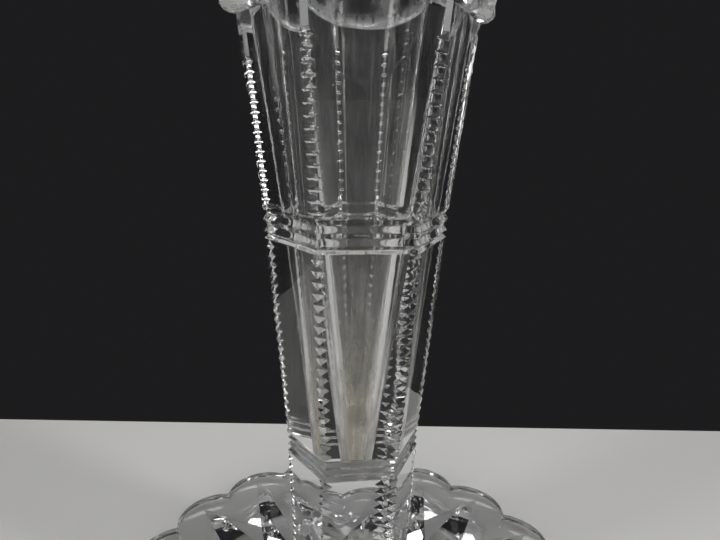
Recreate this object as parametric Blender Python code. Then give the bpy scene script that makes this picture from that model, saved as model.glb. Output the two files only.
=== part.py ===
"""Hexagonal cut-glass vase on a wide scalloped foot, as five glass sections.

The vase stands on z = 0 with its axis on +Z. Two corners of the hexagon lie on the X axis,
so a flat panel faces -Y. Sizes are in metres and angles in degrees.
"""

import math

import bmesh
import bpy

MM = 0.001
SIDES = 6
GAP = 0.3 * MM

# Heights of the sections above the table
FOOT_TOP_Z = 15.0 * MM
SHAFT_TOP_Z = 56.0 * MM
LOWER_RIDGES_Z = (61.4 * MM, 63.6 * MM, 65.8 * MM, 67.9 * MM)
UPPER_RIDGES_Z = (125.3 * MM, 127.4 * MM, 130.6 * MM, 133.9 * MM)
BLOCK_Z = 174.4 * MM
PANEL_TOP_Z = 180.3 * MM
RIM_Z = 203.0 * MM

# Corner radii of the hexagon at the bottom and the top of each stretch
SHAFT_R = (17.7 * MM, 19.6 * MM)
LOWER_BAND_R = (19.4 * MM, 19.45 * MM)
LOWER_PANEL_R = (19.8 * MM, 24.95 * MM)
UPPER_BAND_R = (24.85 * MM, 25.4 * MM)
UPPER_PANEL_R = (25.75 * MM, 30.9 * MM)

# Notches along each corner: how many, and how far their ridges and floors lie inside the sharp corner
SHAFT_NOTCHES = 15
UNDER_BAND_NOTCHES = 2
LOWER_NOTCHES = 20
UPPER_NOTCHES = 15
SHAFT_CUT = (0.2 * MM, 1.1 * MM)
LOWER_CUT = (0.2 * MM, 1.05 * MM)
UPPER_CUT = (0.55 * MM, 1.15 * MM)
SHARP_CUT = 0.05 * MM

# Bands of V grooves
LOWER_GROOVE_DEPTH = 0.75 * MM
UPPER_GROOVE_DEPTH = 0.9 * MM

# Round tapering well, from its floor to the top of the panels
WELL_SIDES = 48
WELL_FLOOR_Z = 60.0 * MM
WELL_FLOOR_R = 3.4 * MM
WELL_HEEL = 1.2 * MM
WELL_HEEL_R = 4.4 * MM
WELL_TOP_R = 21.6 * MM
WELL_SWELL = 0.35 * MM

# Flared crown with a rounded lobe over each corner
CROWN_STEPS = 72
CROWN_LEVELS = 7
CROWN_STEP_HEIGHT = 2.2 * MM
CROWN_STEP_OUT = 1.5 * MM
CROWN_LOBE_R = 40.0 * MM
CROWN_WAIST_R = 34.5 * MM
CROWN_DIP = 5.0 * MM
CROWN_WALL = 4.6 * MM
CREST_RISE = 1.2 * MM
FLARE_POWER = 1.25
INSIDE_POWER = 2.2
INSIDE_SLOPE = 0.15
LOBE_POWER = 0.8
KNOB_PUFF = 2.0 * MM
KNOB_RISE = 5.0 * MM
KNOB_POWER = 5

# Scalloped foot
SCALLOPS = 18
FOOT_TURN = -2.55
ARC_STEPS = 5
VALLEY_INSET = 1.2
RIM_HEIGHT = 6.75 * MM
VALLEY_R = 73.5 * MM
APEX_R = 78.75 * MM
EDGE_ROUND = 0.9 * MM
RIM_WIDTH = 3.2 * MM
STAR_TIP_R = 72.4 * MM
STAR_REACH = 7
COLLAR_R = 27.0 * MM
COLLAR_Z = 11.3 * MM
COLLAR_TOP_R = 21.0 * MM
COVE_SHARE = 0.3
COVE_RISE = 0.4
CUT_DEPTHS = (5.0 * MM, 5.0 * MM, 3.8 * MM)
PEAK_SHARE = 0.35
RECESS_R = 64.0 * MM
RECESS_DEPTH = 1.5 * MM
RECESS_SLOPE = 8.0 * MM


def clear_scene():
    """Remove every object, so that the script can be run again."""
    for old in list(bpy.data.objects):
        bpy.data.objects.remove(old, do_unlink=True)


def glass(name, colour, roughness):
    """Clear or slightly frosted pressed glass."""
    material = bpy.data.materials.new(name)
    material.use_nodes = True
    shader = material.node_tree.nodes["Principled BSDF"]
    shader.inputs["Base Color"].default_value = (*colour, 1.0)
    shader.inputs["Metallic"].default_value = 0.0
    shader.inputs["Roughness"].default_value = roughness
    shader.inputs["IOR"].default_value = 1.5
    shader.inputs["Transmission Weight"].default_value = 1.0
    return material


def polar(radius, angle, z):
    """A point at a radius and an angle from +X, in degrees."""
    turn = math.radians(angle)
    return (radius * math.cos(turn), radius * math.sin(turn), z)


def mix(low, high, share):
    """The value a share of the way from low to high."""
    return low + (high - low) * share


def finish(name, mesh_data, material, smooth_angle):
    """Make the object from its bmesh, with rounded parts shaded smooth."""
    bmesh.ops.recalc_face_normals(mesh_data, faces=mesh_data.faces)
    mesh = bpy.data.meshes.new(name)
    mesh_data.to_mesh(mesh)
    mesh_data.free()
    mesh.shade_smooth()
    mesh.set_sharp_from_angle(angle=math.radians(smooth_angle))
    mesh.materials.append(material)
    piece = bpy.data.objects.new(name, mesh)
    bpy.context.collection.objects.link(piece)
    return piece


# ---------------------------------------------------------------- hexagonal sections


def body_ring(mesh_data, radius, z, cut):
    """Twelve vertices: a hexagon whose corners are cut back by a depth."""
    step = 360 / SIDES
    half_width = cut * math.tan(math.radians(step))
    ring = []
    for k in range(SIDES):
        turn = math.radians(step * k)
        for side in (-1, 1):
            x = (radius - cut) * math.cos(turn) - side * half_width * math.sin(turn)
            y = (radius - cut) * math.sin(turn) + side * half_width * math.cos(turn)
            ring.append(mesh_data.verts.new((x, y, z)))
    return ring


def loop_faces(mesh_data, low, high):
    """Quads between two rings of equal length."""
    count = len(low)
    for i in range(count):
        n = (i + 1) % count
        mesh_data.faces.new((low[i], low[n], high[n], high[i]))


def notched_rings(mesh_data, start, radii, heights, count, cut):
    """Notches up a tapering stretch, from the start ring; returns the ring at the top."""
    ridge_cut, floor_cut = cut
    ring = start
    for i in range(2 * count):
        share = (i + 1) / (2 * count)
        depth = floor_cut if i % 2 == 0 else ridge_cut
        upper = body_ring(mesh_data, mix(*radii, share), mix(*heights, share), depth)
        loop_faces(mesh_data, ring, upper)
        ring = upper
    return ring


def grooved_rings(mesh_data, start, radii, ridges, depth):
    """V grooves between the ridges of a band, right round the hexagon; returns the top ring."""
    ring = start
    corner_depth = depth / math.cos(math.pi / SIDES)
    for low_z, high_z in zip(ridges, ridges[1:]):
        for z, inset in ((mix(low_z, high_z, 0.5), corner_depth), (high_z, 0.0)):
            share = (z - ridges[0]) / (ridges[-1] - ridges[0])
            upper = body_ring(mesh_data, mix(*radii, share) - inset, z, SHARP_CUT)
            loop_faces(mesh_data, ring, upper)
            ring = upper
    return ring


def shaft_radius(z):
    """Corner radius of the stem between the foot and the lower band."""
    return mix(*SHAFT_R, (z - FOOT_TOP_Z) / (LOWER_RIDGES_Z[0] - FOOT_TOP_Z))


def make_shaft(material):
    """The solid hexagonal stem."""
    mesh_data = bmesh.new()
    heights = (FOOT_TOP_Z + GAP, SHAFT_TOP_Z)
    radii = (shaft_radius(heights[0]), shaft_radius(heights[1]))
    base = body_ring(mesh_data, radii[0], heights[0], SHAFT_CUT[0])
    mesh_data.faces.new(reversed(base))
    top = notched_rings(mesh_data, base, radii, heights, SHAFT_NOTCHES, SHAFT_CUT)
    mesh_data.faces.new(top)
    return finish("stem", mesh_data, material, 10)


def make_lower_body(material, well):
    """Lower part of the body: the lower band, the long panels and the floor of the well."""
    mesh_data = bmesh.new()
    under = (SHAFT_TOP_Z + GAP, LOWER_RIDGES_Z[0])
    under_radii = (shaft_radius(under[0]), shaft_radius(under[1]))
    panels = (LOWER_RIDGES_Z[-1], UPPER_RIDGES_Z[0])
    base = body_ring(mesh_data, under_radii[0], under[0], SHAFT_CUT[0])
    mesh_data.faces.new(reversed(base))
    ring = notched_rings(mesh_data, base, under_radii, under, UNDER_BAND_NOTCHES, SHAFT_CUT)
    ring = grooved_rings(mesh_data, ring, LOWER_BAND_R, LOWER_RIDGES_Z, LOWER_GROOVE_DEPTH)
    ring = notched_rings(mesh_data, ring, LOWER_PANEL_R, panels, LOWER_NOTCHES, LOWER_CUT)
    mesh_data.faces.new(ring)
    piece = finish("lower_body", mesh_data, material, 10)
    cut_well(piece, well)
    return piece


def make_upper_body(material, well):
    """Upper part of the body: the upper band and the panels that widen to the crown.

    The notches stop short of the crown, and leave a plain block at the top of each corner.
    """
    mesh_data = bmesh.new()
    notched = (UPPER_RIDGES_Z[-1], BLOCK_Z)
    block_r = mix(*UPPER_PANEL_R, (BLOCK_Z - notched[0]) / (PANEL_TOP_Z - notched[0]))
    radii = (UPPER_PANEL_R[0], block_r)
    base = body_ring(mesh_data, UPPER_BAND_R[0], UPPER_RIDGES_Z[0] + GAP, SHARP_CUT)
    mesh_data.faces.new(reversed(base))
    ring = grooved_rings(mesh_data, base, UPPER_BAND_R, UPPER_RIDGES_Z, UPPER_GROOVE_DEPTH)
    ring = notched_rings(mesh_data, ring, radii, notched, UPPER_NOTCHES, UPPER_CUT)
    top = body_ring(mesh_data, UPPER_PANEL_R[1], PANEL_TOP_Z, UPPER_CUT[0])
    loop_faces(mesh_data, ring, top)
    mesh_data.faces.new(top)
    piece = finish("upper_body", mesh_data, material, 10)
    cut_well(piece, well)
    return piece


# ---------------------------------------------------------------- the well


def well_radius(z):
    """Radius of the well between its heel and the top of the panels: a slightly swelling cone."""
    share = (z - WELL_FLOOR_Z - WELL_HEEL) / (PANEL_TOP_Z - WELL_FLOOR_Z - WELL_HEEL)
    return mix(WELL_HEEL_R, WELL_TOP_R, share) - WELL_SWELL * math.sin(math.pi * share)


def make_well():
    """The cutter that hollows the body."""
    levels = [(WELL_FLOOR_R, WELL_FLOOR_Z)]
    heel_z = WELL_FLOOR_Z + WELL_HEEL
    for share in (0.0, 0.25, 0.5, 0.75, 1.0):
        z = mix(heel_z, PANEL_TOP_Z, share)
        levels.append((well_radius(z), z))
    overshoot = 2 * MM
    levels.append((WELL_TOP_R + 0.3 * MM, PANEL_TOP_Z + overshoot))
    mesh_data = bmesh.new()
    rings = []
    for radius, z in levels:
        step = 360 / WELL_SIDES
        rings.append([mesh_data.verts.new(polar(radius, step * i, z)) for i in range(WELL_SIDES)])
    for low, high in zip(rings, rings[1:]):
        for i in range(WELL_SIDES):
            n = (i + 1) % WELL_SIDES
            mesh_data.faces.new((low[i], low[n], high[n], high[i]))
    mesh_data.faces.new(reversed(rings[0]))
    mesh_data.faces.new(rings[-1])
    cutter = finish("well_cutter", mesh_data, glass("well_guide", (1.0, 1.0, 1.0), 0.0), 30)
    cutter.hide_render = True
    cutter.display_type = "WIRE"
    return cutter


def cut_well(piece, well):
    """Hollow a section of the body."""
    cut = piece.modifiers.new("well", "BOOLEAN")
    cut.operation = "DIFFERENCE"
    cut.solver = "EXACT"
    cut.object = well


# ---------------------------------------------------------------- the crown


def hexagon_radius(corner_radius, angle):
    """Distance from the axis to the hexagon's side at an angle."""
    half = 180 / SIDES
    off_panel = (angle % (2 * half)) - half
    apothem = corner_radius * math.cos(math.radians(half))
    return apothem / math.cos(math.radians(off_panel))


def lobe_share(angle):
    """1 over a corner and 0 over the middle of a panel, with a round crest and a tight valley."""
    return abs(math.cos(math.radians(angle * SIDES / 2))) ** LOBE_POWER


def knob_puff(angle, rise):
    """How far the rounded knob at the foot of each lobe stands out of the hexagon."""
    across = abs(math.cos(math.radians(angle * SIDES / 2))) ** KNOB_POWER
    climb = min(1.0, rise / KNOB_RISE)
    return KNOB_PUFF * across * math.sqrt(climb * (2 - climb))


def make_crown(material):
    """The flared rim, with a lobe over each corner."""
    mesh_data = bmesh.new()
    step = 360 / CROWN_STEPS
    angles = [step * i for i in range(CROWN_STEPS)]
    base_z = PANEL_TOP_Z + GAP
    first = CROWN_STEP_HEIGHT / (RIM_Z - base_z)
    shares = [0.0] + [mix(first, 1.0, level / CROWN_LEVELS) for level in range(CROWN_LEVELS + 1)]
    outer = []
    inner = []
    for share in shares:
        flare = share ** FLARE_POWER
        outside = []
        inside = []
        for angle in angles:
            lobe = lobe_share(angle)
            height = RIM_Z - CROWN_DIP * (1 - lobe) - base_z
            z = base_z + height * share
            step_out = CROWN_STEP_OUT * min(1.0, share / first)
            puffed = hexagon_radius(UPPER_PANEL_R[1] + step_out, angle) + knob_puff(angle, z - base_z)
            edge = mix(CROWN_WAIST_R, CROWN_LOBE_R, lobe)
            radius = mix(puffed, edge, flare)
            slope_out = WELL_TOP_R + INSIDE_SLOPE * height
            well_edge = WELL_TOP_R + INSIDE_SLOPE * height * share
            well_edge += (edge - CROWN_WALL - slope_out) * share ** INSIDE_POWER
            outside.append(mesh_data.verts.new(polar(radius, angle, z)))
            inside.append(mesh_data.verts.new(polar(well_edge, angle, z)))
        outer.append(outside)
        inner.append(inside)
    crest = []
    for i, angle in enumerate(angles):
        lobe = lobe_share(angle)
        middle = mix(CROWN_WAIST_R, CROWN_LOBE_R, lobe) - CROWN_WALL / 2
        top = RIM_Z - CROWN_DIP * (1 - lobe) + CREST_RISE
        crest.append(mesh_data.verts.new(polar(middle, angle, top)))
    loops = outer + [crest] + inner[::-1] + [outer[0]]
    for low, high in zip(loops, loops[1:]):
        for i in range(CROWN_STEPS):
            n = (i + 1) % CROWN_STEPS
            mesh_data.faces.new((low[i], low[n], high[n], high[i]))
    return finish("crown", mesh_data, material, 25)


# ---------------------------------------------------------------- the foot


def scallop_outline(inset, z, mesh_data):
    """The scalloped outline, moved in by an inset: circular arcs meeting in sharp valleys."""
    half = 180 / SCALLOPS
    half_chord = VALLEY_R * math.sin(math.radians(half))
    rise = APEX_R - VALLEY_R * math.cos(math.radians(half))
    arc_radius = (half_chord ** 2 + rise ** 2) / (2 * rise)
    centre = APEX_R - arc_radius
    valley = VALLEY_R - inset * VALLEY_INSET
    valley_x = valley * math.cos(math.radians(half))
    valley_y = valley * math.sin(math.radians(half))
    reach = math.atan2(valley_y, valley_x - centre)
    ring = []
    for k in range(SCALLOPS):
        axis_turn = math.radians(2 * half * k + FOOT_TURN)
        for i in range(-ARC_STEPS, ARC_STEPS):
            share = i / ARC_STEPS
            if i == -ARC_STEPS:
                x = valley_x
                y = -valley_y
            else:
                x = centre + (arc_radius - inset) * math.cos(reach * share)
                y = (arc_radius - inset) * math.sin(reach * share)
            turned_x = x * math.cos(axis_turn) - y * math.sin(axis_turn)
            turned_y = x * math.sin(axis_turn) + y * math.cos(axis_turn)
            ring.append(mesh_data.verts.new((turned_x, turned_y, z)))
    return ring


def star_crossing(offset):
    """Radius where two of the star's straight cuts cross, an offset in degrees from a tip."""
    half = 180 / SCALLOPS
    nearest = STAR_TIP_R * math.cos(math.radians(half * STAR_REACH))
    return nearest / math.cos(math.radians(half * STAR_REACH - offset))


def dome_height(radius):
    """Height of the uncut top of the foot, rising from the rim to the collar."""
    share = (STAR_TIP_R - radius) / (STAR_TIP_R - COLLAR_R)
    return mix(RIM_HEIGHT, COLLAR_Z, share)


def ring_at(mesh_data, radius, z, count, first_angle):
    """Evenly spaced vertices on a circle of the foot, which is turned a little from the body."""
    start = first_angle + FOOT_TURN
    step = 360 / count
    return [mesh_data.verts.new(polar(radius, start + step * i, z)) for i in range(count)]


def make_foot(material):
    """The foot: a scalloped rim round a star of straight V cuts, and a collar for the stem."""
    mesh_data = bmesh.new()
    half = 180 / SCALLOPS
    # rim wall, with its edges eased, and the flat band on top
    sole = scallop_outline(EDGE_ROUND, 0.0, mesh_data)
    wall_low = scallop_outline(0.0, EDGE_ROUND, mesh_data)
    wall_high = scallop_outline(0.0, RIM_HEIGHT - EDGE_ROUND, mesh_data)
    edge = scallop_outline(EDGE_ROUND, RIM_HEIGHT, mesh_data)
    band = scallop_outline(RIM_WIDTH, RIM_HEIGHT, mesh_data)
    for low, high in ((sole, wall_low), (wall_low, wall_high), (wall_high, edge), (edge, band)):
        loop_faces(mesh_data, low, high)
    # star: tips at the scallops' middles, crossings stepping inwards
    tips = ring_at(mesh_data, STAR_TIP_R, dome_height(STAR_TIP_R), SCALLOPS, 0.0)
    first_r, second_r, third_r = (star_crossing(half * n) for n in (1, 2, 3))
    first = ring_at(mesh_data, first_r, dome_height(first_r) - CUT_DEPTHS[0], SCALLOPS, half)
    second = ring_at(mesh_data, second_r, dome_height(second_r) - CUT_DEPTHS[1], SCALLOPS, 0.0)
    third = ring_at(mesh_data, third_r, dome_height(third_r) - CUT_DEPTHS[2], SCALLOPS, half)
    outer_peak_r = mix(first_r, STAR_TIP_R, PEAK_SHARE)
    inner_peak_r = mix(second_r, first_r, PEAK_SHARE)
    outer_peaks = ring_at(mesh_data, outer_peak_r, dome_height(outer_peak_r), SCALLOPS, 0.0)
    inner_peaks = ring_at(mesh_data, inner_peak_r, dome_height(inner_peak_r), SCALLOPS, half)
    collar = ring_at(mesh_data, COLLAR_R, COLLAR_Z, 2 * SCALLOPS, 0.0)
    for k in range(SCALLOPS):
        n = (k + 1) % SCALLOPS
        start = 2 * ARC_STEPS * k
        arc = [band[(start + i) % len(band)] for i in range(2 * ARC_STEPS + 1)]
        for a, b in zip(arc, arc[1:]):
            mesh_data.faces.new((tips[k], a, b))
        mesh_data.faces.new((tips[k], arc[-1], first[k]))
        mesh_data.faces.new((tips[n], first[k], arc[-1]))
        before = (k - 1) % SCALLOPS
        kite = (tips[k], first[k], second[k], first[before])
        for a, b in zip(kite, kite[1:] + kite[:1]):
            mesh_data.faces.new((outer_peaks[k], a, b))
        kite = (first[k], second[n], third[k], second[k])
        for a, b in zip(kite, kite[1:] + kite[:1]):
            mesh_data.faces.new((inner_peaks[k], a, b))
        mesh_data.faces.new((second[k], third[k], collar[2 * k]))
        mesh_data.faces.new((second[k], collar[2 * k], third[before]))
        mesh_data.faces.new((third[k], collar[2 * k + 1], collar[2 * k]))
        mesh_data.faces.new((third[k], collar[(2 * k + 2) % len(collar)], collar[2 * k + 1]))
    # collar rising to the stem
    cove_r = mix(COLLAR_TOP_R, COLLAR_R, COVE_SHARE)
    cove_z = mix(COLLAR_Z, FOOT_TOP_Z, COVE_RISE)
    cove = ring_at(mesh_data, cove_r, cove_z, 2 * SCALLOPS, 0.0)
    seat = ring_at(mesh_data, COLLAR_TOP_R, FOOT_TOP_Z, 2 * SCALLOPS, 0.0)
    loop_faces(mesh_data, collar, cove)
    loop_faces(mesh_data, cove, seat)
    mesh_data.faces.new(seat)
    # underside: a flat ring to stand on, round a shallow recess
    first_angle = -half
    ledge = ring_at(mesh_data, RECESS_R, 0.0, len(sole), first_angle)
    roof = ring_at(mesh_data, RECESS_R - RECESS_SLOPE, RECESS_DEPTH, len(sole), first_angle)
    loop_faces(mesh_data, ledge, sole)
    loop_faces(mesh_data, ledge, roof)
    mesh_data.faces.new(roof)
    return finish("foot", mesh_data, material, 12)


def main():
    clear_scene()
    clear = (0.97, 0.98, 0.98)
    foot_glass = glass("foot_glass", clear, 0.02)
    stem_glass = glass("stem_glass", clear, 0.01)
    lower_glass = glass("lower_glass", (0.96, 0.96, 0.93), 0.05)
    upper_glass = glass("upper_glass", clear, 0.02)
    crown_glass = glass("crown_glass", (0.94, 0.95, 0.95), 0.18)
    well = make_well()
    make_foot(foot_glass)
    make_shaft(stem_glass)
    make_lower_body(lower_glass, well)
    make_upper_body(upper_glass, well)
    make_crown(crown_glass)


main()
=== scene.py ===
"""Looks of the hexagonal cut-glass vase.

The real vase is one casting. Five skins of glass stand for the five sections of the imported
model. They share the same rings where they meet and have no face between them, so light runs
through them as through one piece of glass.
"""

import math

import bmesh
import bpy
from mathutils import Matrix, Vector


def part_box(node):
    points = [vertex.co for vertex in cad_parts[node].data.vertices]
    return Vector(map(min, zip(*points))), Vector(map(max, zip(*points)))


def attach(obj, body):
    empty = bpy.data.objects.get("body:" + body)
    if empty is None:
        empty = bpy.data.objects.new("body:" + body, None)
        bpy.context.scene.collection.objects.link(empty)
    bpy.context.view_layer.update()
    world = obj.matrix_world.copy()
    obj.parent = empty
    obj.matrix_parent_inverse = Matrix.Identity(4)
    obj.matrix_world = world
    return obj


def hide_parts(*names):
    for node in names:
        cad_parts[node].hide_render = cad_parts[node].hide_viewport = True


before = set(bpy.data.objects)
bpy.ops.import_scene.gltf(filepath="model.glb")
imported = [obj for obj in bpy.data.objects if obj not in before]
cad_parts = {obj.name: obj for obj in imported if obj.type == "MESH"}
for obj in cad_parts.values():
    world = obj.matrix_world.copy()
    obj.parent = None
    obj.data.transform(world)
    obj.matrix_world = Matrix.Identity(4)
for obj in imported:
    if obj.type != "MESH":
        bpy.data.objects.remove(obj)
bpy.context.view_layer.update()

MM = 0.001
SIDES = 6
CORNER_STEP = 360 / SIDES

# Edges flatter than these angles, in degrees, are shaded smooth
BODY_SMOOTH = 24
CROWN_SMOOTH = 32
FOOT_SMOOTH = 18

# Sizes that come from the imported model
foot_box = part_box("foot")
stem_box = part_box("stem")
lower_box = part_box("lower_body")
upper_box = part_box("upper_body")
crown_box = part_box("crown")
FOOT_JOINT_Z = (foot_box[1].z + stem_box[0].z) / 2
STEM_JOINT_Z = (stem_box[1].z + lower_box[0].z) / 2
BODY_JOINT_Z = (lower_box[1].z + upper_box[0].z) / 2
CROWN_JOINT_Z = (upper_box[1].z + crown_box[0].z) / 2
CREST_Z = crown_box[1].z

# How far the ridges and floors of the notches lie inside the sharp corner
SHAFT_CUT = (0.2 * MM, 1.1 * MM)
LOWER_CUT = (0.2 * MM, 1.05 * MM)
UPPER_CUT = (0.55 * MM, 1.15 * MM)
SHARP_CUT = 0.05 * MM

# The hexagonal body: corner radii at the bottom and the top of each stretch, and the bands' ridges
SHAFT_R = (17.7 * MM, 19.6 * MM)
LOWER_BAND_R = (19.4 * MM, 19.45 * MM)
LOWER_PANEL_R = (19.8 * MM, 24.95 * MM)
UPPER_BAND_R = (24.85 * MM, 25.4 * MM)
UPPER_PANEL_R = (25.75 * MM, upper_box[1].x + UPPER_CUT[0])
LOWER_RIDGES_Z = (61.4 * MM, 63.6 * MM, 65.8 * MM, 67.9 * MM)
UPPER_RIDGES_Z = (BODY_JOINT_Z, 127.4 * MM, 130.6 * MM, 133.9 * MM)

# Notches up the corners, and grooves round the bands. A profile is (share of a notch, share of its depth).
V_PROFILE = ((0.0, 0.0), (0.12, 0.12), (0.42, 0.86), (0.5, 1.0), (0.58, 0.86), (0.88, 0.12))
PILLOW_PROFILE = (
    (0.0, 0.0), (0.18, 0.06), (0.33, 0.34), (0.46, 1.0), (0.54, 1.0), (0.67, 0.34), (0.82, 0.06),
)
SHAFT_NOTCHES = 15
UNDER_BAND_NOTCHES = 2
LOWER_NOTCHES = 20
UPPER_NOTCHES = 15
LOWER_GROOVE_DEPTH = 0.75 * MM
UPPER_GROOVE_DEPTH = 0.9 * MM
GROOVE_STEPS = 24
GROOVE_SHARPNESS = 0.96
BLOCK_HEIGHT = 6.05 * MM

# How far the nearest ring of cut corners lies below or above the fine ring at a joint
JOIN_BELOW = 0.1 * MM
JOIN_ABOVE = 0.2 * MM

# Material slots of the body's pieces
CLEAR, NOTCHED, BANDED, STAINED, FROSTED = range(5)

# The well, and the shares of the way out and up at which its heel bends
FINE_SIDES = 144
WELL_FLOOR_Z = 60.0 * MM
WELL_FLOOR_R = 3.4 * MM
WELL_HEEL = 1.2 * MM
WELL_HEEL_R = 4.4 * MM
WELL_HEEL_BEND = (0.75, 0.3)
WELL_TOP_R = 21.6 * MM
WELL_SWELL = 0.35 * MM
WELL_LEVELS = 10
WELL_DISH = 0.2 * MM
FILM_TOP_Z = 128 * MM
FILM_FULL_Z = 72 * MM

# The crown
CROWN_LEVELS = 14
STEP_HEIGHT = 2.2 * MM
STEP_OUT = 1.5 * MM
STEP_LEVELS = (0.0, 0.1, 0.3, 0.6, 1.0, 1.3, 1.6, 2.0)
LOBE_R = 40.0 * MM
WAIST_R = 34.5 * MM
DIP = 5.0 * MM
WALL = 4.6 * MM
CREST_RISE = 1.2 * MM
FLARE_POWER = 1.25
INSIDE_POWER = 2.2
INSIDE_SLOPE = 0.15
LOBE_POWER = 0.8
KNOB_PUFF = 2.0 * MM
KNOB_RISE = 5.0 * MM
KNOB_POWER = 5
BEAD_FROST_REACH = 1.6 * STEP_HEIGHT
COVE_ABOVE_BEAD = 0.7

# The foot
SCALLOPS = 18
FOOT_TURN = -2.55
ARC_STEPS = 8
VALLEY_INSET = 1.2
RIM_HEIGHT = 6.75 * MM
VALLEY_R = 73.5 * MM
APEX_R = 78.75 * MM
EDGE_ROUND = 1.1 * MM
ROUND_STEPS = 3
RIM_WIDTH = 3.2 * MM
STAR_TIP_R = 72.4 * MM
STAR_REACH = 7
COLLAR_R = 27.0 * MM
COLLAR_Z = 11.3 * MM
CUT_DEPTHS = (5.0 * MM, 5.0 * MM, 3.8 * MM)
PEAK_SHARE = 0.35
RECESS_R = 64.0 * MM
RECESS_DEPTH = 1.5 * MM
RECESS_SLOPE = 8.0 * MM
RECESS_SHARES = (0.05, 0.3, 0.6, 0.85, 1.0)
COVE_PROFILE = ((0.0, 0.0), (0.12, 0.45), (0.3, 0.72), (0.6, 0.92), (1.0, 1.0))

# The camera, at the photograph's viewing angle
CAMERA_DISTANCE = 150 * MM
CAMERA_HEIGHT = 154.5 * MM
CAMERA_TILT = 14.3
CAMERA_PAN = 0.365
CAMERA_ROLL = 1.15
CAMERA_LENS = 28
VASE_TURN = 7.2

# The floor's reach from the axis, and a drop that keeps it clear of the sole's own face
FLOOR_BEHIND = 120 * MM
FLOOR_AHEAD = 1100 * MM
FLOOR_ASIDE = 900 * MM
FLOOR_Z = -0.1 * MM
LIGHT_TARGET_Z = 100 * MM


def polar(radius, angle, z):
    """A point at a radius and an angle from +X, in degrees."""
    turn = math.radians(angle)
    return Vector((radius * math.cos(turn), radius * math.sin(turn), z))


def mix(low, high, share):
    """The value a share of the way from low to high."""
    return low + (high - low) * share


def shaft_radius(z):
    """Corner radius of the stem between the foot and the lower band."""
    return mix(*SHAFT_R, (z - FOOT_JOINT_Z) / (LOWER_RIDGES_Z[0] - FOOT_JOINT_Z))


def hexagon_radius(corner_radius, angle):
    """Distance from the axis to the hexagon's side at an angle."""
    half = CORNER_STEP / 2
    off_panel = (angle % CORNER_STEP) - half
    return corner_radius * math.cos(math.radians(half)) / math.cos(math.radians(off_panel))


# ---------------------------------------------------------------- mesh helpers


def finish(name, mesh_data, materials, smooth_angle):
    """Make the object from its bmesh."""
    mesh = bpy.data.meshes.new(name)
    mesh_data.to_mesh(mesh)
    mesh_data.free()
    mesh.shade_smooth()
    mesh.set_sharp_from_angle(angle=math.radians(smooth_angle))
    for material in materials:
        mesh.materials.append(material)
    piece = bpy.data.objects.new(name, mesh)
    bpy.context.scene.collection.objects.link(piece)
    return piece


def stand_for(piece, node):
    """The piece rides on the one body and stands for a CAD node, which it hides."""
    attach(piece, "root")
    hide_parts(node)


def loft(mesh_data, rings, panel_slot=0, corner_slot=0):
    """Quads between rings of equal length, in order from underneath, up the outside and down the well.

    Between body rings every second face is a corner of the hexagon, with a material of its own.
    """
    for low, high in zip(rings, rings[1:]):
        count = len(low)
        for i in range(count):
            n = (i + 1) % count
            face = mesh_data.faces.new((low[i], low[n], high[n], high[i]))
            face.material_index = panel_slot if i % 2 else corner_slot


def fine_ring(mesh_data, radius_at, z_at, count=FINE_SIDES, first_angle=0.0):
    """Evenly turned vertices, whose radius and height depend on the angle."""
    ring = []
    for i in range(count):
        angle = first_angle + 360 * i / count
        ring.append(mesh_data.verts.new(polar(radius_at(angle), angle, z_at(angle))))
    return ring


def round_ring(mesh_data, radius, z, count=FINE_SIDES, first_angle=0.0):
    """Vertices on a level circle."""
    return fine_ring(mesh_data, lambda angle: radius, lambda angle: z, count, first_angle)


def body_ring(mesh_data, radius, z, depth):
    """Twelve vertices: a hexagon whose corners are cut back by a depth."""
    half_width = depth * math.tan(math.radians(CORNER_STEP))
    ring = []
    for k in range(SIDES):
        out = polar(1.0, CORNER_STEP * k, 0.0)
        across = Vector((-out.y, out.x, 0.0))
        for side in (-1, 1):
            place = out * (radius - depth) + across * (side * half_width)
            place.z = z
            ring.append(mesh_data.verts.new(place))
    return ring


def meet_fine_ring(mesh_data, cut, fine, fine_above):
    """Join a ring of cut corners to a fine ring on the same hexagon."""
    per_side = len(fine) // SIDES
    for k in range(SIDES):
        start = per_side * k
        edge = [fine[(start + i) % len(fine)] for i in range(per_side + 1)]
        panel = [cut[2 * k + 1], cut[(2 * k + 2) % len(cut)]]
        corner = [cut[2 * k], cut[2 * k + 1], fine[start]]
        if fine_above:
            mesh_data.faces.new(panel + edge[::-1])
            mesh_data.faces.new(corner)
        else:
            mesh_data.faces.new(panel[::-1] + edge)
            mesh_data.faces.new(corner[::-1])


# ---------------------------------------------------------------- the body


def notch_rings(mesh_data, radii, heights, count, cuts, profile):
    """Rings up a stretch of notched corners."""
    rings = []
    for i in range(count):
        for share, cut in profile:
            up = (i + share) / count
            rings.append(body_ring(mesh_data, mix(*radii, up), mix(*heights, up), mix(*cuts, cut)))
    rings.append(body_ring(mesh_data, radii[1], heights[1], cuts[0]))
    return rings


def soft_triangle(share):
    """A triangle wave from 0 up to 1 and back, with its corners rounded."""
    swing = math.asin(GROOVE_SHARPNESS * math.cos(2 * math.pi * share)) / math.asin(GROOVE_SHARPNESS)
    return (1 - swing) / 2


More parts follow.
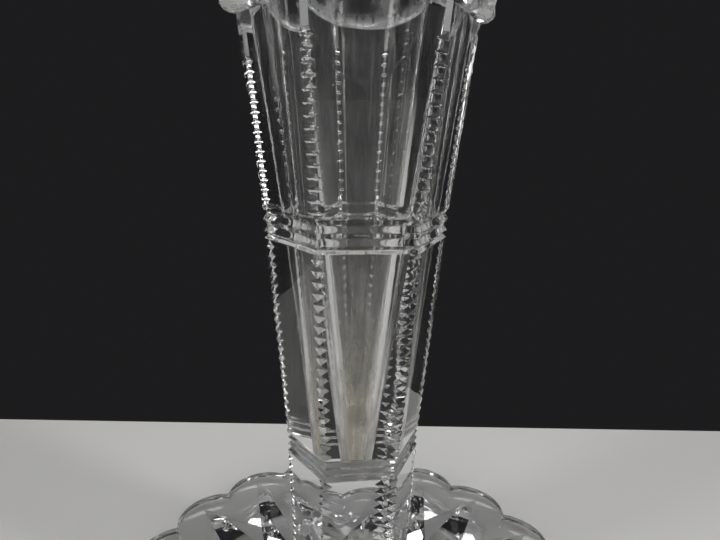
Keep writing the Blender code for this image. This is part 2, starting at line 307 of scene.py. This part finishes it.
def groove_rings(mesh_data, radii, ridges, depth):
    """Rings up a band of grooves, whose ridges and floors are slightly rounded."""
    rings = []
    corner_depth = depth / math.cos(math.pi / SIDES)
    for low_z, high_z in zip(ridges, ridges[1:]):
        for i in range(GROOVE_STEPS):
            share = i / GROOVE_STEPS
            z = mix(low_z, high_z, share)
            radius = mix(*radii, (z - ridges[0]) / (ridges[-1] - ridges[0]))
            inset = corner_depth * soft_triangle(share)
            rings.append(body_ring(mesh_data, radius - inset, z, SHARP_CUT))
    rings.append(body_ring(mesh_data, radii[1], ridges[-1], SHARP_CUT))
    return rings


def well_radius(z):
    """Radius of the well above its heel: a slightly swelling cone."""
    heel_z = WELL_FLOOR_Z + WELL_HEEL
    share = (z - heel_z) / (CROWN_JOINT_Z - heel_z)
    return mix(WELL_HEEL_R, WELL_TOP_R, share) - WELL_SWELL * math.sin(math.pi * share)


def well_rings(mesh_data, high_z, low_z, levels):
    """Rings down the wall of the well."""
    rings = []
    for i in range(levels + 1):
        z = mix(high_z, low_z, i / levels)
        rings.append(round_ring(mesh_data, well_radius(z), z))
    return rings


def make_stem(clear, cut_glass):
    """The solid hexagonal stem."""
    mesh_data = bmesh.new()
    base = fine_ring(mesh_data, lambda a: hexagon_radius(SHAFT_R[0], a), lambda a: FOOT_JOINT_Z)
    heights = (FOOT_JOINT_Z + JOIN_ABOVE, STEM_JOINT_Z)
    radii = (shaft_radius(heights[0]), shaft_radius(heights[1]))
    rings = notch_rings(mesh_data, radii, heights, SHAFT_NOTCHES, SHAFT_CUT, V_PROFILE)
    meet_fine_ring(mesh_data, rings[0], base, False)
    loft(mesh_data, rings, CLEAR, NOTCHED)
    stand_for(finish("stem_casting", mesh_data, [clear, cut_glass], BODY_SMOOTH), "stem")


def make_lower_body(clear, cut_glass, band_glass, stained):
    """The lower band, the long panels, and the lower part of the well with its dried film."""
    mesh_data = bmesh.new()
    heights = (STEM_JOINT_Z, LOWER_RIDGES_Z[0])
    radii = (shaft_radius(heights[0]), shaft_radius(heights[1]))
    under = notch_rings(mesh_data, radii, heights, UNDER_BAND_NOTCHES, SHAFT_CUT, V_PROFILE)
    band = groove_rings(mesh_data, LOWER_BAND_R, LOWER_RIDGES_Z, LOWER_GROOVE_DEPTH)
    heights = (LOWER_RIDGES_Z[-1], BODY_JOINT_Z)
    panels = notch_rings(mesh_data, LOWER_PANEL_R, heights, LOWER_NOTCHES, LOWER_CUT, V_PROFILE)
    joint = body_ring(mesh_data, UPPER_BAND_R[0], BODY_JOINT_Z, SHARP_CUT)
    loft(mesh_data, under + band[:1], CLEAR, NOTCHED)
    loft(mesh_data, band, BANDED, BANDED)
    loft(mesh_data, band[-1:] + panels + [joint], CLEAR, NOTCHED)
    heel_z = WELL_FLOOR_Z + WELL_HEEL
    well = well_rings(mesh_data, BODY_JOINT_Z, heel_z, WELL_LEVELS)
    out, up = WELL_HEEL_BEND
    well.append(round_ring(mesh_data, mix(WELL_FLOOR_R, WELL_HEEL_R, out), mix(WELL_FLOOR_Z, heel_z, up)))
    well.append(round_ring(mesh_data, WELL_FLOOR_R, WELL_FLOOR_Z))
    well.append(round_ring(mesh_data, WELL_FLOOR_R / 2, WELL_FLOOR_Z - WELL_DISH))
    loft(mesh_data, well, STAINED, STAINED)
    floor = mesh_data.faces.new(well[-1])
    floor.material_index = STAINED
    piece = finish("lower_body_casting", mesh_data, [clear, cut_glass, band_glass, stained], BODY_SMOOTH)
    stand_for(piece, "lower_body")


def make_upper_body(clear, cut_glass, band_glass, stained, frosted):
    """The upper band and the panels that widen to the crown, whose corners end in frosted blocks."""
    mesh_data = bmesh.new()
    band = groove_rings(mesh_data, UPPER_BAND_R, UPPER_RIDGES_Z, UPPER_GROOVE_DEPTH)
    heights = (UPPER_RIDGES_Z[-1], CROWN_JOINT_Z - BLOCK_HEIGHT)
    block_r = mix(*UPPER_PANEL_R, (heights[1] - heights[0]) / (CROWN_JOINT_Z - heights[0]))
    radii = (UPPER_PANEL_R[0], block_r)
    panels = notch_rings(mesh_data, radii, heights, UPPER_NOTCHES, UPPER_CUT, PILLOW_PROFILE)
    block = body_ring(mesh_data, UPPER_PANEL_R[1], CROWN_JOINT_Z - JOIN_BELOW, UPPER_CUT[0])
    top = fine_ring(mesh_data, lambda a: hexagon_radius(UPPER_PANEL_R[1], a), lambda a: CROWN_JOINT_Z)
    loft(mesh_data, band, BANDED, BANDED)
    loft(mesh_data, band[-1:] + panels, CLEAR, NOTCHED)
    loft(mesh_data, [panels[-1], block], CLEAR, FROSTED)
    meet_fine_ring(mesh_data, block, top, True)
    loft(mesh_data, well_rings(mesh_data, CROWN_JOINT_Z, BODY_JOINT_Z, WELL_LEVELS), STAINED, STAINED)
    materials = [clear, cut_glass, band_glass, stained, frosted]
    piece = finish("upper_body_casting", mesh_data, materials, BODY_SMOOTH)
    stand_for(piece, "upper_body")


# ---------------------------------------------------------------- the crown


def lobe_share(angle):
    """1 over a corner and 0 over the middle of a panel."""
    return abs(math.cos(math.radians(angle * SIDES / 2))) ** LOBE_POWER


def knob_share(angle, rise):
    """How fully the rounded knob at the foot of a lobe has grown, from 0 to 1."""
    across = abs(math.cos(math.radians(angle * SIDES / 2))) ** KNOB_POWER
    climb = min(1.0, rise / KNOB_RISE)
    return across * math.sqrt(climb * (2 - climb))


def bead_out(rise):
    """How far the round bead at the foot of the crown stands out, with a shallow cove above it."""
    climb = rise / STEP_HEIGHT
    if climb <= 1.0:
        return STEP_OUT * math.sqrt(climb * (2 - climb))
    return STEP_OUT * (1 - COVE_ABOVE_BEAD * min(1.0, climb - 1.0))


def make_crown(crown_glass):
    """The flared rim, with a lobe over each corner. The knobs and lobes carry the most frost."""
    mesh_data = bmesh.new()
    frost = mesh_data.verts.layers.float.new("frost")
    rim_z = CREST_Z - CREST_RISE
    step_share = STEP_HEIGHT / (rim_z - CROWN_JOINT_Z)
    shares = [step_share * level for level in STEP_LEVELS]
    shares += [mix(shares[-1], 1.0, (level + 1) / CROWN_LEVELS) for level in range(CROWN_LEVELS)]

    def height(angle):
        return rim_z - DIP * (1 - lobe_share(angle)) - CROWN_JOINT_Z

    def edge(angle):
        return mix(WAIST_R, LOBE_R, lobe_share(angle))

    def outside_radius(share, angle):
        rise = height(angle) * share
        puffed = hexagon_radius(UPPER_PANEL_R[1] + bead_out(rise), angle)
        puffed += KNOB_PUFF * knob_share(angle, rise)
        return mix(puffed, edge(angle), share ** FLARE_POWER)

    def inside_radius(share, angle):
        slope_out = INSIDE_SLOPE * height(angle)
        flare = edge(angle) - WALL - WELL_TOP_R - slope_out
        return WELL_TOP_R + slope_out * share + flare * share ** INSIDE_POWER

    outer = []
    inner = []
    for share in shares:
        level_z = lambda angle: CROWN_JOINT_Z + height(angle) * share
        outer.append(fine_ring(mesh_data, lambda angle: outside_radius(share, angle), level_z))
        inner.append(fine_ring(mesh_data, lambda angle: inside_radius(share, angle), level_z))
        for i, vertex in enumerate(outer[-1]):
            angle = 360 * i / FINE_SIDES
            rise = height(angle) * share
            bead = math.sin(math.pi * min(1.0, rise / BEAD_FROST_REACH))
            vertex[frost] = max(bead, knob_share(angle, rise))
    crest = fine_ring(
        mesh_data,
        lambda angle: edge(angle) - WALL / 2,
        lambda angle: CROWN_JOINT_Z + height(angle) + CREST_RISE,
    )
    loft(mesh_data, outer + [crest] + inner[::-1])
    stand_for(finish("crown_casting", mesh_data, [crown_glass], CROWN_SMOOTH), "crown")


# ---------------------------------------------------------------- the foot


def scallop_ring(mesh_data, inset, z):
    """The scalloped outline, moved in by an inset: circular arcs meeting in sharp valleys."""
    half = 180 / SCALLOPS
    half_chord = VALLEY_R * math.sin(math.radians(half))
    rise = APEX_R - VALLEY_R * math.cos(math.radians(half))
    arc_radius = (half_chord ** 2 + rise ** 2) / (2 * rise)
    centre = APEX_R - arc_radius
    valley = polar(VALLEY_R - inset * VALLEY_INSET, half, 0.0)
    reach = math.atan2(valley.y, valley.x - centre)
    ring = []
    for k in range(SCALLOPS):
        turn = Matrix.Rotation(math.radians(2 * half * k + FOOT_TURN), 4, "Z")
        for i in range(-ARC_STEPS, ARC_STEPS):
            swing = reach * i / ARC_STEPS
            x = centre + (arc_radius - inset) * math.cos(swing)
            y = (arc_radius - inset) * math.sin(swing)
            if i == -ARC_STEPS:
                x, y = valley.x, -valley.y
            ring.append(mesh_data.verts.new(turn @ Vector((x, y, z))))
    return ring


def star_crossing(offset):
    """Radius where two of the star's straight cuts cross, an offset in degrees from a tip."""
    reach = STAR_REACH * 180 / SCALLOPS
    return STAR_TIP_R * math.cos(math.radians(reach)) / math.cos(math.radians(reach - offset))


def dome_height(radius):
    """Height of the uncut top of the foot."""
    share = (STAR_TIP_R - radius) / (STAR_TIP_R - COLLAR_R)
    return mix(RIM_HEIGHT, COLLAR_Z, share)


def star_ring(mesh_data, radius, z, first_angle):
    """One vertex for each scallop."""
    return round_ring(mesh_data, radius, z, SCALLOPS, first_angle + FOOT_TURN)


def facet(mesh_data, *corners):
    """A face of the star, facing up."""
    face = mesh_data.faces.new(corners)
    face.normal_update()
    if face.normal.z < 0:
        face.normal_flip()


def make_star(mesh_data, band, collar):
    """The star of straight V cuts between the rim and the collar."""
    half = 180 / SCALLOPS
    first_r, second_r, third_r = (star_crossing(half * n) for n in (1, 2, 3))
    tips = star_ring(mesh_data, STAR_TIP_R, dome_height(STAR_TIP_R), 0.0)
    first = star_ring(mesh_data, first_r, dome_height(first_r) - CUT_DEPTHS[0], half)
    second = star_ring(mesh_data, second_r, dome_height(second_r) - CUT_DEPTHS[1], 0.0)
    third = star_ring(mesh_data, third_r, dome_height(third_r) - CUT_DEPTHS[2], half)
    outer_r = mix(first_r, STAR_TIP_R, PEAK_SHARE)
    inner_r = mix(second_r, first_r, PEAK_SHARE)
    outer_peaks = star_ring(mesh_data, outer_r, dome_height(outer_r), 0.0)
    inner_peaks = star_ring(mesh_data, inner_r, dome_height(inner_r), half)
    per_scallop = len(collar) // SCALLOPS
    for k in range(SCALLOPS):
        n = (k + 1) % SCALLOPS
        before = (k - 1) % SCALLOPS
        arc = [band[(2 * ARC_STEPS * k + i) % len(band)] for i in range(2 * ARC_STEPS + 1)]
        for a, b in zip(arc, arc[1:]):
            facet(mesh_data, tips[k], a, b)
        facet(mesh_data, tips[k], arc[-1], first[k])
        facet(mesh_data, tips[n], first[k], arc[-1])
        outer_kite = (tips[k], first[k], second[k], first[before])
        inner_kite = (first[k], second[n], third[k], second[k])
        for peak, kite in ((outer_peaks[k], outer_kite), (inner_peaks[k], inner_kite)):
            for a, b in zip(kite, kite[1:] + kite[:1]):
                facet(mesh_data, peak, a, b)
        seat = [collar[(per_scallop * k + i) % len(collar)] for i in range(per_scallop + 1)]
        middle = per_scallop // 2
        facet(mesh_data, second[k], third[k], seat[0])
        facet(mesh_data, second[n], seat[-1], third[k])
        for a, b in zip(seat, seat[1:]):
            facet(mesh_data, third[k], a, b)


def make_foot(clear):
    """The foot: recess and sole, scalloped rim, star of cuts, and the cove up to the stem."""
    mesh_data = bmesh.new()
    half = 180 / SCALLOPS
    under = []
    count = 2 * ARC_STEPS * SCALLOPS
    start = FOOT_TURN - half
    for share in RECESS_SHARES:
        under.append(round_ring(mesh_data, (RECESS_R - RECESS_SLOPE) * share, RECESS_DEPTH, count, start))
    under.append(round_ring(mesh_data, RECESS_R, 0.0, count, start))
    rim = []
    for i in range(ROUND_STEPS + 1):
        swing = math.radians(90 * i / ROUND_STEPS)
        inset = EDGE_ROUND * (1 - math.sin(swing))
        rim.append(scallop_ring(mesh_data, inset, EDGE_ROUND * (1 - math.cos(swing))))
    for i in range(ROUND_STEPS + 1):
        swing = math.radians(90 * i / ROUND_STEPS)
        inset = EDGE_ROUND * (1 - math.cos(swing))
        rim.append(scallop_ring(mesh_data, inset, RIM_HEIGHT - EDGE_ROUND * (1 - math.sin(swing))))
    rim.append(scallop_ring(mesh_data, RIM_WIDTH, RIM_HEIGHT))
    loft(mesh_data, under + rim)
    mesh_data.faces.new(under[0][::-1])
    cove = []
    for share, fall in COVE_PROFILE[::-1]:
        cove.append(fine_ring(
            mesh_data,
            lambda angle: mix(hexagon_radius(SHAFT_R[0], angle), COLLAR_R, share),
            lambda angle: mix(FOOT_JOINT_Z, COLLAR_Z, fall),
        ))
    make_star(mesh_data, rim[-1], cove[0])
    loft(mesh_data, cove)
    stand_for(finish("foot_casting", mesh_data, [clear], FOOT_SMOOTH), "foot")


# ---------------------------------------------------------------- materials


def add(tree, kind, inputs=None, **settings):
    """A new node, with its settings, and its inputs as values or as sockets to link from."""
    made = tree.nodes.new(kind)
    for key, value in settings.items():
        setattr(made, key, value)
    for key, value in (inputs or {}).items():
        if isinstance(value, bpy.types.NodeSocket):
            tree.links.new(value, made.inputs[key])
        else:
            made.inputs[key].default_value = value
    return made


def noise(tree, place, scale, detail=4.0, roughness=0.55):
    """Noise from 0 to 1 over the object's own coordinates."""
    made = add(tree, "ShaderNodeTexNoise", {
        "Vector": place, "Scale": scale, "Detail": detail, "Roughness": roughness,
    })
    return made.outputs["Fac"]


def remap(tree, value, low, high, to_low, to_high):
    """A value moved from one range to another, and held inside it."""
    made = add(tree, "ShaderNodeMapRange", {
        "Value": value, "From Min": low, "From Max": high, "To Min": to_low, "To Max": to_high,
    })
    return made.outputs["Result"]


def times(tree, first, second):
    """The product of two values."""
    made = add(tree, "ShaderNodeMath", {0: first, 1: second}, operation="MULTIPLY")
    return made.outputs["Value"]


def blend(tree, share, first, second):
    """A colour between two others."""
    made = add(tree, "ShaderNodeMix", {
        "Factor": share, "A": (*first, 1.0), "B": (*second, 1.0),
    }, data_type="RGBA")
    return made.outputs["Result"]


def bump(tree, shader, place, layers):
    """Bumps of noise, each (scale, height), from slow waves to fine grain."""
    normal = None
    for scale, height in layers:
        inputs = {"Height": noise(tree, place, scale, 2.0), "Distance": height, "Strength": 1.0}
        if normal:
            inputs["Normal"] = normal
        normal = add(tree, "ShaderNodeBump", inputs).outputs["Normal"]
    tree.links.new(normal, shader.inputs["Normal"])


def bare_glass(name):
    """A glass material, its node tree, its shader and its own coordinates."""
    material = bpy.data.materials.new(name)
    material.use_nodes = True
    tree = material.node_tree
    shader = tree.nodes["Principled BSDF"]
    shader.inputs["IOR"].default_value = 1.5
    shader.inputs["Transmission Weight"].default_value = 1.0
    return material, tree, shader, add(tree, "ShaderNodeTexCoord").outputs["Object"]


def glass(name, tint, rough, layers, clearness=1.0):
    """Glass with faint smears and an uneven surface."""
    material, tree, shader, place = bare_glass(name)
    shader.inputs["Transmission Weight"].default_value = clearness
    smears = remap(tree, noise(tree, place, 45.0), 0.4, 0.75, *rough)
    tree.links.new(smears, shader.inputs["Roughness"])
    darker = [0.97 * c for c in tint]
    tree.links.new(blend(tree, noise(tree, place, 25.0), tint, darker), shader.inputs["Base Color"])
    bump(tree, shader, place, layers)
    return material


def streaked_glass(name, tint, rough):
    """Half matt cut glass, with the tool's streaks running round the piece."""
    material, tree, shader, place = bare_glass(name)
    level = add(tree, "ShaderNodeMapping", {"Vector": place, "Scale": (0.08, 0.08, 1.0)}).outputs["Vector"]
    streaks = remap(tree, noise(tree, level, 2600.0), 0.35, 0.7, *rough)
    tree.links.new(streaks, shader.inputs["Roughness"])
    shader.inputs["Base Color"].default_value = (*tint, 1.0)
    bump(tree, shader, level, ((1800.0, 0.05 * MM),))
    return material


def stained_glass():
    """The wall of the well: a pale dried film that thickens towards the bottom in upright streaks."""
    material, tree, shader, place = bare_glass("stained_glass")
    upright = add(tree, "ShaderNodeMapping", {"Vector": place, "Scale": (1.0, 1.0, 0.05)}).outputs["Vector"]
    streaks = remap(tree, noise(tree, upright, 700.0), 0.35, 0.7, 0.3, 1.0)
    clouds = remap(tree, noise(tree, place, 90.0), 0.35, 0.65, 0.4, 1.0)
    z = add(tree, "ShaderNodeSeparateXYZ", {"Vector": place}).outputs["Z"]
    fade = remap(tree, z, FILM_TOP_Z, FILM_FULL_Z, 0.12, 1.0)
    film = times(tree, times(tree, streaks, clouds), fade)
    tree.links.new(remap(tree, film, 0.0, 1.0, 1.0, 0.35), shader.inputs["Transmission Weight"])
    tree.links.new(remap(tree, film, 0.0, 0.4, 0.0, 0.35), shader.inputs["Roughness"])
    tree.links.new(blend(tree, film, (0.98, 0.98, 0.97), (0.6, 0.5, 0.29)), shader.inputs["Base Color"])
    bump(tree, shader, upright, ((700.0, 0.015 * MM),))
    return material


def frosted_crown():
    """The crown's glass: crinkled, and frosted where the frost attribute is high."""
    material, tree, shader, place = bare_glass("crown_glass")
    frost = add(tree, "ShaderNodeAttribute", attribute_name="frost").outputs["Fac"]
    grain = remap(tree, noise(tree, place, 220.0), 0.35, 0.65, 0.4, 1.0)
    matt = times(tree, frost, grain)
    tree.links.new(remap(tree, matt, 0.0, 1.0, 0.03, 0.5), shader.inputs["Roughness"])
    tree.links.new(remap(tree, matt, 0.0, 1.0, 1.0, 0.55), shader.inputs["Transmission Weight"])
    shader.inputs["Base Color"].default_value = (0.975, 0.98, 0.98, 1.0)
    bump(tree, shader, place, ((60.0, 0.06 * MM), (500.0, 0.06 * MM)))
    return material


# ---------------------------------------------------------------- stage


def make_floor():
    """The plain pale floor, whose far edge lies behind the vase."""
    turn = Matrix.Rotation(math.radians(-VASE_TURN), 4, "Z")
    mesh_data = bmesh.new()
    near, far = -FLOOR_AHEAD, FLOOR_BEHIND
    left, right = -FLOOR_ASIDE, FLOOR_ASIDE
    corners = ((left, near), (right, near), (right, far), (left, far))
    mesh_data.faces.new([mesh_data.verts.new(turn @ Vector((x, y, FLOOR_Z))) for x, y in corners])
    finish("floor", mesh_data, [plain("pale_floor", (0.52, 0.515, 0.505), 0.6)], BODY_SMOOTH)


def plain(name, colour, roughness):
    """A plain stage finish."""
    material = bpy.data.materials.new(name)
    material.use_nodes = True
    shader = material.node_tree.nodes["Principled BSDF"]
    shader.inputs["Base Color"].default_value = (*colour, 1.0)
    shader.inputs["Roughness"].default_value = roughness
    shader.inputs["Specular IOR Level"].default_value = 0.2
    return material


def softbox(name, azimuth, elevation, distance, size, watts):
    """A rectangular soft light aimed at the middle of the vase. Azimuth 0 is behind the camera."""
    light = bpy.data.lights.new(name, "AREA")
    light.shape = "RECTANGLE"
    light.size, light.size_y = size
    light.energy = watts
    lamp = bpy.data.objects.new(name, light)
    target = Vector((0.0, 0.0, LIGHT_TARGET_Z))
    level = distance * math.cos(math.radians(elevation))
    place = polar(level, azimuth - 90 - VASE_TURN, distance * math.sin(math.radians(elevation)))
    lamp.location = target + place
    lamp.rotation_euler = (-place).to_track_quat("-Z", "Y").to_euler()
    lamp.visible_camera = False
    bpy.context.scene.collection.objects.link(lamp)


def make_lights():
    """Soft studio light from above, both sides and behind, and a dark world."""
    softbox("top_light", 0, 80, 0.8, (0.3, 0.22), 2.0)
    softbox("left_light", -60, 25, 0.7, (0.12, 0.55), 1.8)
    softbox("right_light", 65, 25, 0.7, (0.08, 0.55), 2.5)
    softbox("back_light", 180, 45, 0.7, (0.45, 0.1), 2.3)
    world = bpy.data.worlds.new("studio")
    bpy.context.scene.world = world
    world.use_nodes = True
    world.node_tree.nodes["Background"].inputs["Color"].default_value = (0.012, 0.012, 0.013, 1.0)


def make_camera():
    """The camera at the photograph's viewing angle."""
    tilt, pan, roll = (math.radians(v) for v in (CAMERA_TILT, CAMERA_PAN, CAMERA_ROLL))
    ahead = Vector((math.sin(pan) * math.cos(tilt), math.cos(pan) * math.cos(tilt), -math.sin(tilt)))
    level = Vector((math.cos(pan), -math.sin(pan), 0.0))
    lift = level.cross(ahead)
    right = level * math.cos(roll) + lift * math.sin(roll)
    up = lift * math.cos(roll) - level * math.sin(roll)
    pose = Matrix((right, up, -ahead)).transposed().to_4x4()
    pose.translation = Vector((0.0, -CAMERA_DISTANCE, CAMERA_HEIGHT))
    camera = bpy.data.objects.new("camera", bpy.data.cameras.new("camera"))
    camera.data.lens = CAMERA_LENS
    camera.data.clip_start = 1 * MM
    camera.matrix_world = Matrix.Rotation(math.radians(-VASE_TURN), 4, "Z") @ pose
    bpy.context.scene.collection.objects.link(camera)
    bpy.context.scene.camera = camera


def set_light_paths():
    """Enough bounces for light to find its way through thick glass, and a plain view of it."""
    cycles = bpy.context.scene.cycles
    cycles.max_bounces = 32
    cycles.transmission_bounces = 32
    cycles.glossy_bounces = 16
    cycles.sample_clamp_indirect = 4.0
    cycles.blur_glossy = 0.5
    bpy.context.scene.view_settings.view_transform = "Standard"


def main():
    waves = ((60.0, 0.06 * MM),)
    clear = glass("clear_glass", (0.985, 0.99, 0.99), (0.0, 0.03), waves)
    cut_glass = glass("notch_glass", (0.97, 0.975, 0.975), (0.04, 0.12), ((900.0, 0.02 * MM),))
    upper_band = glass("polished_groove_glass", (0.98, 0.985, 0.985), (0.01, 0.05), waves)
    lower_band = streaked_glass("half_matt_groove_glass", (0.95, 0.96, 0.965), (0.02, 0.14))
    frosted = glass("frosted_glass", (0.92, 0.925, 0.925), (0.4, 0.55), ((700.0, 0.05 * MM),), 0.7)
    stained = stained_glass()
    make_foot(clear)
    make_stem(clear, cut_glass)
    make_lower_body(clear, cut_glass, lower_band, stained)
    make_upper_body(clear, cut_glass, upper_band, stained, frosted)
    make_crown(frosted_crown())
    make_floor()
    make_lights()
    make_camera()
    set_light_paths()


main()
